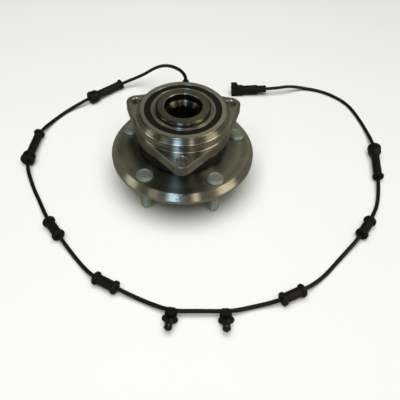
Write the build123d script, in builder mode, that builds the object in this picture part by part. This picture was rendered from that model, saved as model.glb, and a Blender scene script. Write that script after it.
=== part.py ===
from build123d import *
import os
from math import cos, pi, radians, sin, tan

# Wheel hub bearing unit with its wheel speed sensor lead, in millimetres.
# The spin axis is Z. The origin is on that axis, in the plane of the wheel mounting
# face, and +Z points inboard, towards the steering knuckle.

os.makedirs("parts", exist_ok=True)

# ---- Ball rows ----------------------------------------------------------------------
ball_r = 6.35
ball_clearance = 0.15
balls_per_row = 13
pitch_r = 33.8
inner_shoulder_wrap = 56.4
inner_land_wrap = 26.8
outer_land_wrap = 57.4
pocket_clearance = 0.25
cage_wall = 4.2
cage_prong = 3.0
cage_ring_t = 1.7

# ---- Wheel flange and spindle -------------------------------------------------------
flange_t = 11.5
flange_margin = 16.0
flange_rim_h = 4.5
flange_bevel_w = 5.0
flange_edge_chamfer = 0.6
neck_fillet = 3.0
wheel_pilot_r = 35.7
wheel_pilot_h = 13.0
wheel_pilot_wall = 6.2
wheel_pilot_chamfer = 1.5
pilot_relief_w = 2.5
pilot_relief_depth = 0.5
nut_face_z = 2.0
collar_lap = 5.8
collar_h = 4.7
collar_edge_fillet = 2.6
collar_foot_fillet = 1.3
collar_lip_fillet = 0.9
counterbore_step = 3.4
counterbore_depth = 8.4
lead_in_h = 3.6
bore_edge_chamfer = 0.8
inner_ring_wall = 4.5
inner_ring_below_row = 7.2
inner_ring_above_row = 13.6

# ---- Splined axle bore --------------------------------------------------------------
spline_teeth = 32
spline_major_r = 16.6
spline_depth = 1.2
spline_overcut = 0.3
spline_flank_angle = 60.0

# ---- Wheel studs --------------------------------------------------------------------
stud_count = 5
stud_circle_r = 63.5
stud_first_angle = 18.0
stud_shank_r = 6.2
stud_knurl_step = 0.7
stud_head_r = 9.5
stud_head_h = 3.3
stud_head_bevel = 1.3
stud_boss_r = 6.6
stud_boss_h = 0.35
stud_length_below = 36.4
stud_tip_bevel = 1.9
stud_tip_h = 3.0

# ---- Outer ring and knuckle flange --------------------------------------------------
ring_gap = 2.5
ring_below_row = 12.8
ring_above_row = 14.3
ring_wall = 10.0
ring_shoulder = 1.2
barrel_step = 3.5
body_drop = 13.75
seal_bore_step = 0.2
seal_bore_h = 5.6
end_chamfer = 0.6
knuckle_face_drop = 15.75
lug_t = 12.2
lug_count = 3
lug_bolt_out = 10.025
lug_first_angle = -87.65
lug_tip_r = 11.0
lug_edge_chamfer = 0.8
knuckle_hole_r = 5.25
knuckle_hole_chamfer = 1.0
knuckle_pilot_h = 9.25
pilot_foot_fillet = 0.5
pilot_nose_in = 3.3
pilot_nose_step = 0.4
pilot_nose_drop = 1.9
pilot_nose_fillet = 1.5

# ---- Seals --------------------------------------------------------------------------
seal_sheet = 0.8
seal_case_h = 3.2
seal_case_drop = 0.7
seal_gap_w = 4.7
seal_lip_gap = 0.3
rubber_t = 1.0
bead_w = 1.6
bead_proud = 0.1
side_lip_lean = 2.2
radial_lip_lean = 2.0
slinger_sheet = 0.8
slinger_w = 4.3
slinger_proud = 0.3
slinger_h = 5.6
slinger_crown_w = 1.4
slinger_step = 0.4
slinger_bead_w = 0.8
slinger_bead_h = 0.25
slinger_fillet = 0.4

# ---- Tone ring ----------------------------------------------------------------------
tone_teeth = 44
tone_ring_h = 6.2
tone_depth = 2.2
tone_slot_w = 2.4
tone_w = 6.0

# ---- Wheel speed sensor -------------------------------------------------------------
sensor_angle = 91.2
sensor_air_gap = 0.8
probe_r = 4.0
probe_clearance = 0.15
probe_ball_gap = 0.35
boss_rise = 1.5
boss_root_in = 3.0
boss_margin = 2.0
boss_corner_r = 3.0
ear_t = 4.5
ear_round_r = 8.3
ear_screw_round_r = 6.2
sensor_screw_offset = 15.0
sensor_body_w = 15.0
sensor_body_h = 13.0
sensor_body_l = 11.0
sensor_body_taper = 2.0
sensor_body_fillet = 2.0
sensor_end_fillet = 1.0
bush_wall = 1.0
screw_shank_r = 2.5
screw_grip = 10.5
screw_head_r = 4.6
screw_flange_t = 1.2
screw_hex_af = 8.0
screw_head_h = 4.6
screw_socket_r = 2.0
screw_socket_depth = 2.2
element_r = 2.2
element_l = 5.0
o_ring_r = 0.9
o_ring_from_boss = 5.0
o_ring_groove_w = 2.2
relief_l = 12.3
relief_root_r = 5.8
relief_tip_r = 3.6
relief_ribs = 3
relief_rib_depth = 0.9
relief_rib_w = 1.9

# ---- Sensor lead --------------------------------------------------------------------
cable_r = 2.1
lead_straight_l = 10.8
arc_share = 0.45
short_sleeve_l = 26.0
short_sleeve_r = 5.2
short_collar_r = 7.0
short_collar_t = 4.2
short_collar_fillet = 1.5
long_sleeve_l = 51.5
long_sleeve_r = 4.8
long_flange_r = 6.7
long_flange_t = 2.8
long_flange_fillet = 1.2
bulb_r = 7.6
bulb_l = 9.0
bulb_cone_l = 5.0
bulb_groove_w = 1.4
bulb_groove_depth = 0.9
end_collar_r = 8.2
end_collar_t = 4.6
end_collar_fillet = 1.0
end_collar_dome = 2.2
clip_strap_r = 2.9
clip_strap_w = 6.7
clip_block_l = 11.4
clip_block_h = 6.8
clip_block_from = 1.0
clip_block_reach = 6.6
clip_block_corner = 1.5
clip_tilt = -5.0
clip_disc_r = 7.7
clip_disc_t = 1.8
clip_disc_at = 8.5
clip_dish = 2.0
clip_rim_t = 0.8
clip_stem_r = 3.1
clip_stem_l = 12.0
clip_slot_w = 1.2
clip_barb_h = 0.8
clip_barbs = 4
clip_tip_l = 2.6
clip_tip_r = 1.0

# ---- Connector ----------------------------------------------------------------------
boot_l = 12.5
boot_r = 4.7
boot_fillet = 1.2
shell_l = 20.0
shell_w = 10.0
shell_h = 9.4
head_l = 15.5
head_w = 12.0
head_h = 11.4
shell_corner_r = 2.0
shroud_wall = 1.2
mouth_depth = 13.0
mouth_corner_r = 1.4
ramp_w = 8.5
ramp_h = 5.2
ramp_l = 10.0
ramp_top_l = 7.0
ramp_fillet = 1.5
plug_place = (105.6, 160.5)
plug_heading = 3.9
plug_dip = 4.6
plug_run = 15.0
blade_w = 1.5
blade_t = 0.8
blade_spacing = 4.0
blade_out = 6.0
blade_buried = 6.0

# ---- Radii worked out from the sizes above ------------------------------------------
groove_r = ball_r + ball_clearance
track_r = pitch_r + groove_r
inner_shoulder_r = pitch_r - groove_r * cos(radians(inner_shoulder_wrap))
inner_land_r = pitch_r - groove_r * cos(radians(inner_land_wrap))
outer_land_r = pitch_r + groove_r * cos(radians(outer_land_wrap))
spindle_seat_r = inner_land_r - inner_ring_wall
collar_r = spindle_seat_r + collar_lap
spline_minor_r = spline_major_r - spline_depth
counterbore_r = spline_major_r + counterbore_step
flange_r = stud_circle_r + flange_margin
nut_pocket_r = wheel_pilot_r - wheel_pilot_wall
stud_knurl_r = stud_shank_r + stud_knurl_step
knuckle_pilot_r = track_r + ring_wall
pilot_nose_r = knuckle_pilot_r - pilot_nose_in
body_r = knuckle_pilot_r + ring_shoulder
barrel_r = body_r - barrel_step
lug_circle_r = knuckle_pilot_r + lug_bolt_out
seal_bore_r = track_r + seal_bore_step
seal_flange_r = inner_shoulder_r + seal_gap_w
slinger_outer_r = inner_shoulder_r + slinger_sheet
slinger_flange_r = inner_shoulder_r + slinger_w
tone_tip_r = inner_land_r + tone_ring_h
probe_tip_r = tone_tip_r + sensor_air_gap
sensor_hole_r = probe_r + probe_clearance
boss_face_r = body_r + boss_rise
boss_root_r = barrel_r - boss_root_in
ear_top_r = boss_face_r + ear_t
body_end_r = ear_top_r + sensor_body_l
relief_tip_at = body_end_r + relief_l
bush_outer_r = screw_shank_r + bush_wall

# ---- Heights worked out from the sizes above, upwards from the wheel face ------------
floor_z = -stud_length_below
outer_low_z = flange_t + ring_gap
outboard_row_z = outer_low_z + ring_below_row
inboard_row_z = outboard_row_z + 2 * (ball_r + probe_ball_gap + probe_r)
sensor_z = (outboard_row_z + inboard_row_z) / 2
spindle_shoulder_z = inboard_row_z - inner_ring_below_row
inner_ring_top_z = inboard_row_z + inner_ring_above_row
collar_top_z = inner_ring_top_z + collar_h
counterbore_floor_z = collar_top_z - counterbore_depth
outer_top_z = inboard_row_z + ring_above_row
nose_z = outer_top_z - pilot_nose_drop
knuckle_face_z = outer_top_z - knuckle_face_drop
lug_low_z = knuckle_face_z - lug_t
body_low_z = knuckle_face_z - body_drop
clip_rim_at = clip_disc_at + clip_dish / 2 + clip_rim_t
clip_height = clip_disc_r * cos(radians(clip_tilt)) + clip_rim_at * sin(radians(clip_tilt))
plug_l = boot_l + shell_l + head_l
plug_height = head_h / 2 * cos(radians(plug_dip)) + plug_l * sin(radians(plug_dip))
plug_rise = plug_run * sin(radians(plug_dip))
plug_reach = plug_run * cos(radians(plug_dip))
plug_entry_x = plug_place[0] + plug_reach * cos(radians(plug_heading))
plug_entry_y = plug_place[1] + plug_reach * sin(radians(plug_heading))

# Middle points of the lead's route: x, y and height above the ground it lies on.
lead_course = [
    (-12.5, 110.0, 70.9),
    (-28.9, 132.2, 59.7),
    (-46.5, 158.5, 36.4),
    (-64.0, 167.0, 17.5),
    (-91.5, 160.5, 7.3),
    (-134.5, 119.0, 8.4),
    (-157.0, 102.5, 2.3),
    (-170.5, 82.0, 2.4),
    (-181.2, 54.0, 7.3),
    (-184.0, -4.0, 8.7),
    (-170.0, -34.0, 2.3),
    (-156.0, -57.0, 2.4),
    (-141.0, -84.0, 7.2),
    (-121.5, -108.0, 7.2),
    (-103.5, -127.5, 2.3),
    (-92.5, -139.5, 3.4),
    (-80.0, -152.5, 7.2),
    (-52.0, -166.0, 7.2),
    (-29.0, -174.5, 3.6),
    (-5.5, -184.5, clip_height),
    (7.5, -186.0, clip_height),
    (24.0, -185.0, 7.0),
    (44.5, -183.9, clip_height),
    (59.5, -182.9, clip_height),
    (80.0, -175.0, 3.2),
    (104.0, -169.5, 7.2),
    (131.5, -154.5, 7.2),
    (151.0, -138.0, 2.3),
    (172.0, -113.0, 2.3),
    (196.0, -86.5, 7.2),
    (213.0, -60.0, 7.2),
    (226.5, -34.0, 2.3),
    (231.9, -0.3, 7.2),
    (236.3, 58.7, 8.7),
    (235.0, 89.0, 2.3),
    (227.0, 121.0, 2.2),
    (215.5, 149.0, 2.2),
    (189.0, 169.5, 2.2),
    (161.0, 176.5, 2.2),
    (137.0, 167.0, 10.9),
    (plug_entry_x, plug_entry_y, plug_height + plug_rise),
    (*plug_place, plug_height),
]
long_sleeve_runs = [6, 10, 34]
short_sleeve_runs = [14, 18, 27, 31]
clip_runs = [21, 24]


def groove_rise(wrap):
    """Height over the row's plane at which a raceway groove ends, for its wrap angle."""
    return groove_r * sin(radians(wrap))


def save(builder, label):
    """Label a finished piece and write it as its own STEP file."""
    builder.part.label = label
    export_step(builder.part, f"parts/{label}.step")


def near(vertices, x, y):
    """The corner of a section that lies at a place."""
    return vertices.sort_by_distance((x, y, 0))[0]


# ---- Hub: wheel flange and spindle in one forging -----------------------------------
bevel_inner_r = flange_r - flange_bevel_w
with BuildPart() as hub_flange:
    with BuildSketch(Plane.XZ) as hub_section:
        with BuildLine():
            race_low = (inner_shoulder_r, outboard_row_z - groove_rise(inner_shoulder_wrap))
            race_bottom = (pitch_r - groove_r, outboard_row_z)
            race_high = (inner_land_r, outboard_row_z + groove_rise(inner_land_wrap))
            Polyline(
                (spline_minor_r, nut_face_z),
                (nut_pocket_r, nut_face_z),
                (nut_pocket_r, -wheel_pilot_h),
                (wheel_pilot_r, -wheel_pilot_h),
                (wheel_pilot_r, pilot_relief_depth),
                (wheel_pilot_r + pilot_relief_w, pilot_relief_depth),
                (wheel_pilot_r + pilot_relief_w, 0),
                (flange_r, 0),
                (flange_r, flange_rim_h),
                (bevel_inner_r, flange_t),
                (inner_shoulder_r, flange_t),
                race_low,
            )
            ThreePointArc(race_low, race_bottom, race_high)
            Polyline(
                race_high,
                (inner_land_r, spindle_shoulder_z),
                (spindle_seat_r, spindle_shoulder_z),
                (spindle_seat_r, inner_ring_top_z),
                (collar_r, inner_ring_top_z),
                (collar_r, collar_top_z),
                (counterbore_r, collar_top_z),
                (counterbore_r, counterbore_floor_z),
                (spline_major_r, counterbore_floor_z - lead_in_h),
                (spline_minor_r, counterbore_floor_z - lead_in_h - spline_depth),
                (spline_minor_r, nut_face_z),
            )
        make_face()
        fillet(near(hub_section.vertices(), inner_shoulder_r, flange_t), neck_fillet)
        fillet(near(hub_section.vertices(), collar_r, collar_top_z), collar_edge_fillet)
        fillet(near(hub_section.vertices(), collar_r, inner_ring_top_z), collar_foot_fillet)
        fillet(near(hub_section.vertices(), counterbore_r, collar_top_z), collar_lip_fillet)
        chamfer(near(hub_section.vertices(), wheel_pilot_r, -wheel_pilot_h), wheel_pilot_chamfer)
        chamfer(near(hub_section.vertices(), flange_r, 0), flange_edge_chamfer)
        chamfer(near(hub_section.vertices(), spline_minor_r, nut_face_z), bore_edge_chamfer)
    revolve(axis=Axis.Z)
    spline_pitch_r = (spline_major_r + spline_minor_r) / 2
    space_at_pitch = pi * spline_pitch_r / spline_teeth
    flank_run = 2 / tan(radians(spline_flank_angle))
    space_base_w = space_at_pitch + flank_run * (spline_depth / 2 + spline_overcut)
    with BuildSketch(Plane.XY.offset(nut_face_z)):
        with PolarLocations(spline_minor_r - spline_overcut, spline_teeth):
            Trapezoid(
                space_base_w,
                spline_depth + spline_overcut,
                spline_flank_angle,
                rotation=-90,
                align=(Align.CENTER, Align.MIN),
            )
    extrude(amount=counterbore_floor_z - nut_face_z, mode=Mode.SUBTRACT)
    with PolarLocations(stud_circle_r, stud_count, start_angle=stud_first_angle):
        Hole(stud_knurl_r)
save(hub_flange, "hub_flange")

# ---- Wheel studs --------------------------------------------------------------------
head_top_z = flange_t + stud_head_h
with BuildPart() as stud:
    with BuildSketch(Plane.XZ):
        with BuildLine():
            Polyline(
                (0, floor_z),
                (stud_shank_r - stud_tip_bevel, floor_z),
                (stud_shank_r, floor_z + stud_tip_h),
                (stud_shank_r, 0),
                (stud_knurl_r, 0),
                (stud_knurl_r, flange_t),
                (stud_head_r, flange_t),
                (stud_head_r, head_top_z - stud_head_bevel),
                (stud_boss_r + stud_boss_h, head_top_z - stud_boss_h),
                (stud_boss_r, head_top_z),
                (0, head_top_z),
                (0, floor_z),
            )
        make_face()
    revolve(axis=Axis.Z)
with BuildPart() as wheel_studs:
    with PolarLocations(stud_circle_r, stud_count, start_angle=stud_first_angle):
        add(stud.part)
save(wheel_studs, "wheel_studs")

# ---- Inner ring of the inboard row, held by the spindle's formed collar --------------
with BuildPart() as inner_ring:
    with BuildSketch(Plane.XZ) as inner_ring_section:
        with BuildLine():
            race_low = (inner_land_r, inboard_row_z - groove_rise(inner_land_wrap))
            race_bottom = (pitch_r - groove_r, inboard_row_z)
            race_high = (inner_shoulder_r, inboard_row_z + groove_rise(inner_shoulder_wrap))
            Polyline((spindle_seat_r, spindle_shoulder_z), (inner_land_r, spindle_shoulder_z), race_low)
            ThreePointArc(race_low, race_bottom, race_high)
            Polyline(
                race_high,
                (inner_shoulder_r, inner_ring_top_z),
                (spindle_seat_r, inner_ring_top_z),
                (spindle_seat_r, spindle_shoulder_z),
            )
        make_face()
        chamfer(near(inner_ring_section.vertices(), spindle_seat_r, spindle_shoulder_z), end_chamfer)
    revolve(axis=Axis.Z)
save(inner_ring, "inner_ring")

# ---- Outer ring with the three-lobed knuckle flange ----------------------------------
sensor_dir = (cos(radians(sensor_angle)), sin(radians(sensor_angle)), 0)
sensor_side = (-sensor_dir[1], sensor_dir[0], 0)
sensor_plane = Plane(origin=(0, 0, sensor_z), x_dir=sensor_side, z_dir=sensor_dir)
boss_w = ear_round_r + sensor_screw_offset + ear_screw_round_r + 2 * boss_margin
with BuildPart() as knuckle_plate:
    for lobe in range(lug_count):
        lobe_angle = radians(lug_first_angle + lobe * 360 / lug_count)
        lobe_centre = (lug_circle_r * cos(lobe_angle), lug_circle_r * sin(lobe_angle))
        with BuildSketch(Plane.XY.offset(lug_low_z)):
            Circle(body_r)
            with Locations(lobe_centre):
                Circle(lug_tip_r)
            make_hull()
        extrude(amount=lug_t)
    rims = knuckle_plate.faces().filter_by(Axis.Z).edges()
    chamfer(rims, lug_edge_chamfer)
    with BuildSketch(Plane.XY.offset(lug_low_z)):
        Circle((barrel_r + track_r) / 2)
        with PolarLocations(lug_circle_r, lug_count, start_angle=lug_first_angle):
            Circle(knuckle_hole_r)
    extrude(amount=lug_t, mode=Mode.SUBTRACT)
    hole_edges = knuckle_plate.edges().filter_by(GeomType.CIRCLE)
    chamfer(hole_edges.group_by(SortBy.RADIUS)[0], knuckle_hole_chamfer)
with BuildPart() as outer_ring:
    with BuildSketch(Plane.XZ) as outer_section:
        outboard_land_z = outboard_row_z + groove_rise(outer_land_wrap)
        inboard_land_z = inboard_row_z - groove_rise(outer_land_wrap)
        with BuildLine():
            Polyline(
                (track_r, outboard_row_z),
                (track_r, outer_low_z + seal_bore_h),
                (seal_bore_r, outer_low_z + seal_bore_h),
                (seal_bore_r, outer_low_z),
                (barrel_r, outer_low_z),
                (barrel_r, body_low_z - (body_r - barrel_r)),
                (body_r, body_low_z),
                (body_r, knuckle_face_z),
                (knuckle_pilot_r, knuckle_face_z),
                (knuckle_pilot_r, knuckle_face_z + knuckle_pilot_h),
                (pilot_nose_r + pilot_nose_step, nose_z),
                (pilot_nose_r, nose_z),
                (pilot_nose_r, outer_top_z),
                (seal_bore_r, outer_top_z),
                (seal_bore_r, outer_top_z - seal_bore_h),
                (track_r, outer_top_z - seal_bore_h),
                (track_r, inboard_row_z),
            )
            TangentArc((track_r, inboard_row_z), (outer_land_r, inboard_land_z), tangent=(0, -1))
            Line((outer_land_r, inboard_land_z), (outer_land_r, outboard_land_z))
            TangentArc((track_r, outboard_row_z), (outer_land_r, outboard_land_z), tangent=(0, 1))
        make_face()
        for x, y in ((barrel_r, outer_low_z), (seal_bore_r, outer_low_z), (seal_bore_r, outer_top_z)):
            chamfer(near(outer_section.vertices(), x, y), end_chamfer)
        fillet(near(outer_section.vertices(), knuckle_pilot_r, knuckle_face_z), pilot_foot_fillet)
        chamfer(near(outer_section.vertices(), body_r, knuckle_face_z), end_chamfer)
        fillet(near(outer_section.vertices(), pilot_nose_r, outer_top_z), pilot_nose_fillet)
    revolve(axis=Axis.Z)
    add(knuckle_plate.part)
    with BuildSketch(sensor_plane.offset(boss_root_r)):
        with Locations(((ear_round_r - sensor_screw_offset - ear_screw_round_r) / 2, 0)):
            RectangleRounded(boss_w, 2 * ear_round_r, boss_corner_r)
    extrude(amount=boss_face_r - boss_root_r)
    with BuildSketch(sensor_plane.offset(pitch_r)):
        Circle(sensor_hole_r)
    extrude(amount=boss_face_r - pitch_r, mode=Mode.SUBTRACT)
    with BuildSketch(sensor_plane.offset(boss_face_r)):
        with Locations((-sensor_screw_offset, 0)):
            Circle(screw_shank_r)
    extrude(amount=-screw_grip, mode=Mode.SUBTRACT)
save(outer_ring, "outer_ring")

# ---- Balls and snap-in cages ---------------------------------------------------------
for row, row_z, outward in (("outboard", outboard_row_z, -1), ("inboard", inboard_row_z, 1)):
    row_plane = Plane(origin=(0, 0, row_z), x_dir=(1, 0, 0), z_dir=(0, 0, outward))
    with BuildPart(row_plane) as balls:
        with PolarLocations(pitch_r, balls_per_row):
            Sphere(ball_r)
    save(balls, f"{row}_balls")
    pocket_r = ball_r + pocket_clearance
    with BuildPart(row_plane) as cage:
        with BuildSketch(row_plane.offset(-cage_prong)):
            Circle(pitch_r + cage_wall / 2)
            Circle(pitch_r - cage_wall / 2, mode=Mode.SUBTRACT)
        extrude(amount=cage_prong + pocket_r + cage_ring_t)
        with PolarLocations(pitch_r, balls_per_row):
            Sphere(pocket_r, mode=Mode.SUBTRACT)
    save(cage, f"{row}_cage")

# ---- Tone ring that the sensor reads -------------------------------------------------
with BuildPart() as tone_ring:
    with BuildSketch(Plane.XY.offset(sensor_z - tone_w / 2)):
        Circle(tone_tip_r)
        Circle(inner_land_r, mode=Mode.SUBTRACT)
        with PolarLocations(tone_tip_r, tone_teeth):
            Rectangle(2 * tone_depth, tone_slot_w, mode=Mode.SUBTRACT)
    extrude(amount=tone_w)
save(tone_ring, "tone_ring")


# ---- Seals: a pressed steel case with a moulded rubber lip at each end ---------------
def revolved(points):
    """A ring turned about the spin axis from the corners of its section."""
    with BuildPart() as ring:
        with BuildSketch(Plane.XZ):
            with BuildLine():
                Polyline(*points, close=True)
            make_face()
        revolve(axis=Axis.Z)
    return ring


for side, end_z, outward in (("outboard", outer_low_z, -1), ("inboard", outer_top_z, 1)):
    case_z = end_z - outward * (seal_case_drop + seal_case_h)
    case_step_z = case_z + outward * seal_sheet
    case_rim_z = end_z - outward * seal_case_drop
    case_inner_r = seal_bore_r - seal_sheet
    seal_case = revolved(
        [
            (seal_bore_r, case_z),
            (seal_bore_r, case_rim_z),
            (case_inner_r, case_rim_z),
            (case_inner_r, case_step_z),
            (seal_flange_r, case_step_z),
            (seal_flange_r, case_z),
        ]
    )
    save(seal_case, f"{side}_seal_case")

slinger_top_z = outer_top_z + slinger_proud
slinger_face_z = slinger_top_z - slinger_step
slinger_floor_z = slinger_face_z - slinger_sheet
slinger_bead_z = slinger_face_z + slinger_bead_h
slinger_bead_r = slinger_flange_r - slinger_bead_w
slinger_crown_r = inner_shoulder_r + slinger_crown_w
with BuildPart() as inboard_slinger:
    with BuildSketch(Plane.XZ) as slinger_section:
        with BuildLine():
            Polyline(
                (inner_shoulder_r, slinger_top_z - slinger_h),
                (slinger_outer_r, slinger_top_z - slinger_h),
                (slinger_outer_r, slinger_floor_z),
                (slinger_flange_r, slinger_floor_z),
                (slinger_flange_r, slinger_bead_z),
                (slinger_bead_r, slinger_bead_z),
                (slinger_bead_r - slinger_bead_h, slinger_face_z),
                (slinger_crown_r + slinger_step, slinger_face_z),
                (slinger_crown_r, slinger_top_z),
                (inner_shoulder_r, slinger_top_z),
                close=True,
            )
        make_face()
        for x, y in ((slinger_flange_r, slinger_bead_z), (inner_shoulder_r, slinger_top_z)):
            fillet(near(slinger_section.vertices(), x, y), slinger_fillet)
    revolve(axis=Axis.Z)
save(inboard_slinger, "inboard_slinger")

lip_root_z = outer_top_z - seal_case_drop - seal_case_h + seal_sheet
lip_crown_z = outer_top_z + bead_proud
lip_bore_r = slinger_flange_r + seal_lip_gap
lip_edge_r = slinger_outer_r + seal_lip_gap
inboard_seal_lip = revolved(
    [
        (seal_bore_r - seal_sheet, lip_root_z),
        (seal_bore_r - seal_sheet, outer_top_z - seal_case_drop),
        (seal_bore_r, outer_top_z - seal_case_drop),
        (seal_bore_r, lip_crown_z - seal_lip_gap),
        (seal_bore_r - seal_lip_gap, lip_crown_z),
        (lip_bore_r + seal_lip_gap, lip_crown_z),
        (lip_bore_r, lip_crown_z - seal_lip_gap),
        (lip_bore_r, lip_root_z + rubber_t),
        (lip_edge_r + rubber_t, lip_root_z + rubber_t),
        (lip_edge_r, slinger_floor_z - seal_lip_gap),
        (lip_edge_r, slinger_floor_z - rubber_t),
        (seal_flange_r - rubber_t, lip_root_z),
    ]
)
save(inboard_seal_lip, "inboard_seal_lip")

web_top_z = outer_low_z + seal_case_drop + seal_case_h - seal_sheet
web_low_z = web_top_z - rubber_t
bead_inner_r = seal_bore_r - bead_w
side_lip_r = seal_flange_r + side_lip_lean
radial_lip_r = inner_shoulder_r + seal_lip_gap
outboard_seal_lip = revolved(
    [
        (seal_bore_r - seal_sheet, web_top_z),
        (seal_bore_r - seal_sheet, outer_low_z + seal_case_drop),
        (seal_bore_r, outer_low_z + seal_case_drop),
        (seal_bore_r, outer_low_z),
        (bead_inner_r, outer_low_z),
        (bead_inner_r, web_low_z),
        (seal_flange_r + rubber_t, web_low_z),
        (side_lip_r, flange_t + seal_lip_gap),
        (side_lip_r - rubber_t, flange_t + seal_lip_gap),
        (seal_flange_r - rubber_t, web_low_z),
        (radial_lip_r + rubber_t, web_low_z - rubber_t),
        (radial_lip_r, web_low_z - radial_lip_lean),
        (radial_lip_r, web_low_z - rubber_t / 2),
        (seal_flange_r - rubber_t, web_top_z),
    ]
)
save(outboard_seal_lip, "outboard_seal_lip")

# ---- Wheel speed sensor --------------------------------------------------------------
o_ring_at = boss_face_r - o_ring_from_boss
with BuildPart() as sensor_housing:
    with BuildSketch(sensor_plane.offset(probe_tip_r)):
        Circle(probe_r)
    extrude(amount=boss_face_r - probe_tip_r)
    with BuildSketch(sensor_plane.offset(boss_face_r)):
        Circle(ear_round_r)
        with Locations((-sensor_screw_offset, 0)):
            Circle(ear_screw_round_r)
        make_hull()
    extrude(amount=ear_t)
    with BuildSketch(sensor_plane.offset(ear_top_r)):
        RectangleRounded(sensor_body_w, sensor_body_h, sensor_body_fillet)
    extrude(amount=sensor_body_l, taper=sensor_body_taper)
    end_rim = sensor_housing.faces().sort_by(Axis((0, 0, 0), sensor_dir))[-1].edges()
    fillet(end_rim, sensor_end_fillet)
    with BuildSketch(sensor_plane.offset(ear_top_r)):
        with Locations((-sensor_screw_offset, 0)):
            Circle(bush_outer_r)
    extrude(amount=-ear_t, mode=Mode.SUBTRACT)
    with BuildSketch(sensor_plane.offset(probe_tip_r)):
        Circle(element_r)
    extrude(amount=element_l, mode=Mode.SUBTRACT)
    with BuildSketch(sensor_plane.offset(o_ring_at - o_ring_groove_w / 2)):
        Circle(probe_r)
        Circle(sensor_hole_r - 2 * o_ring_r, mode=Mode.SUBTRACT)
    extrude(amount=o_ring_groove_w, mode=Mode.SUBTRACT)
save(sensor_housing, "sensor_housing")

with BuildPart() as sensor_element:
    with BuildSketch(sensor_plane.offset(probe_tip_r)):
        Circle(element_r)
    extrude(amount=element_l)
save(sensor_element, "sensor_element")

with BuildPart(sensor_plane.offset(o_ring_at)) as sensor_o_ring:
    Torus(sensor_hole_r - o_ring_r, o_ring_r)
save(sensor_o_ring, "sensor_o_ring")

with BuildPart() as sensor_bush:
    with BuildSketch(sensor_plane.offset(boss_face_r)):
        with Locations((-sensor_screw_offset, 0)):
            Circle(bush_outer_r)
            Circle(screw_shank_r, mode=Mode.SUBTRACT)
    extrude(amount=ear_t)
save(sensor_bush, "sensor_bush")

with BuildPart() as sensor_screw:
    with BuildSketch(sensor_plane.offset(boss_face_r - screw_grip)):
        with Locations((-sensor_screw_offset, 0)):
            Circle(screw_shank_r)
    extrude(amount=screw_grip + ear_t)
    with BuildSketch(sensor_plane.offset(ear_top_r)):
        with Locations((-sensor_screw_offset, 0)):
            Circle(screw_head_r)
    extrude(amount=screw_flange_t)
    with BuildSketch(sensor_plane.offset(ear_top_r + screw_flange_t)):
        with Locations((-sensor_screw_offset, 0)):
            RegularPolygon(screw_hex_af / 2, 6, major_radius=False)
    extrude(amount=screw_head_h - screw_flange_t)
    with BuildSketch(sensor_plane.offset(ear_top_r + screw_head_h)):
        with Locations((-sensor_screw_offset, 0)):
            Circle(screw_socket_r)
    extrude(amount=-screw_socket_depth, mode=Mode.SUBTRACT)
save(sensor_screw, "sensor_screw")

# ---- Strain relief: a ribbed cone that tapers to the lead ----------------------------
relief_up = (sensor_dir[1], -sensor_dir[0], 0)
relief_plane = Plane(origin=(0, 0, sensor_z), x_dir=sensor_dir, z_dir=relief_up)
relief_pitch = relief_l / (relief_ribs + 1)
relief_side = []
for rib in range(1, relief_ribs + 1):
    middle = body_end_r + rib * relief_pitch
    share = rib / (relief_ribs + 1)
    crest_r = relief_root_r + (relief_tip_r - relief_root_r) * share
    valley_r = crest_r - relief_rib_depth
    relief_side += [
        (middle - relief_rib_w / 2, crest_r),
        (middle - relief_rib_w / 2, valley_r),
        (middle + relief_rib_w / 2, valley_r),
        (middle + relief_rib_w / 2, crest_r),
    ]
with BuildPart() as strain_relief:
    with BuildSketch(relief_plane):
        with BuildLine():
            Polyline(
                (body_end_r, 0),
                (body_end_r, relief_root_r),
                *relief_side,
                (relief_tip_at, relief_tip_r),
                (relief_tip_at, 0),
                close=True,
            )
        make_face()
    revolve(axis=Axis((0, 0, sensor_z), sensor_dir))
save(strain_relief, "strain_relief")

# ---- Sensor lead ---------------------------------------------------------------------
lead_exit = Vector(0, 0, sensor_z) + Vector(*sensor_dir) * relief_tip_at
lead_points = [lead_exit, lead_exit + Vector(*sensor_dir) * lead_straight_l]
lead_points += [Vector(x, y, floor_z + height) for x, y, height in lead_course]
runs = [b - a for a, b in zip(lead_points, lead_points[1:])]
bends = []
for before, after in zip(runs, runs[1:]):
    half_turn = radians(before.get_angle(after)) / 2
    bends.append(arc_share * min(before.length, after.length) / tan(half_turn))
print("lead bend radii", [round(bend) for bend in bends])
with BuildPart() as sensor_lead:
    with BuildLine() as lead_path:
        FilletPolyline(*lead_points, radius=bends)
    with BuildSketch(Plane(origin=lead_points[0], z_dir=runs[0])):
        Circle(cable_r)
    sweep()
lead_length = sum(edge.length for edge in lead_path.edges())
lead_volume_share = sensor_lead.part.volume / (pi * cable_r**2 * lead_length)
print("lead length", round(lead_length, 1), "volume share", round(lead_volume_share, 4))
save(sensor_lead, "sensor_lead")


def run_plane(index):
    """Plane along one run of the lead: origin at its middle, x along it, y upwards."""
    along = runs[index].normalized()
    across = along.cross(Vector(0, 0, 1)).normalized()
    middle = (lead_points[index] + lead_points[index + 1]) * 0.5
    return Plane(origin=middle, x_dir=along, z_dir=across)


def run_axis(index):
    """Axis along one run of the lead."""
    return Axis(lead_points[index], runs[index].normalized())


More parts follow.
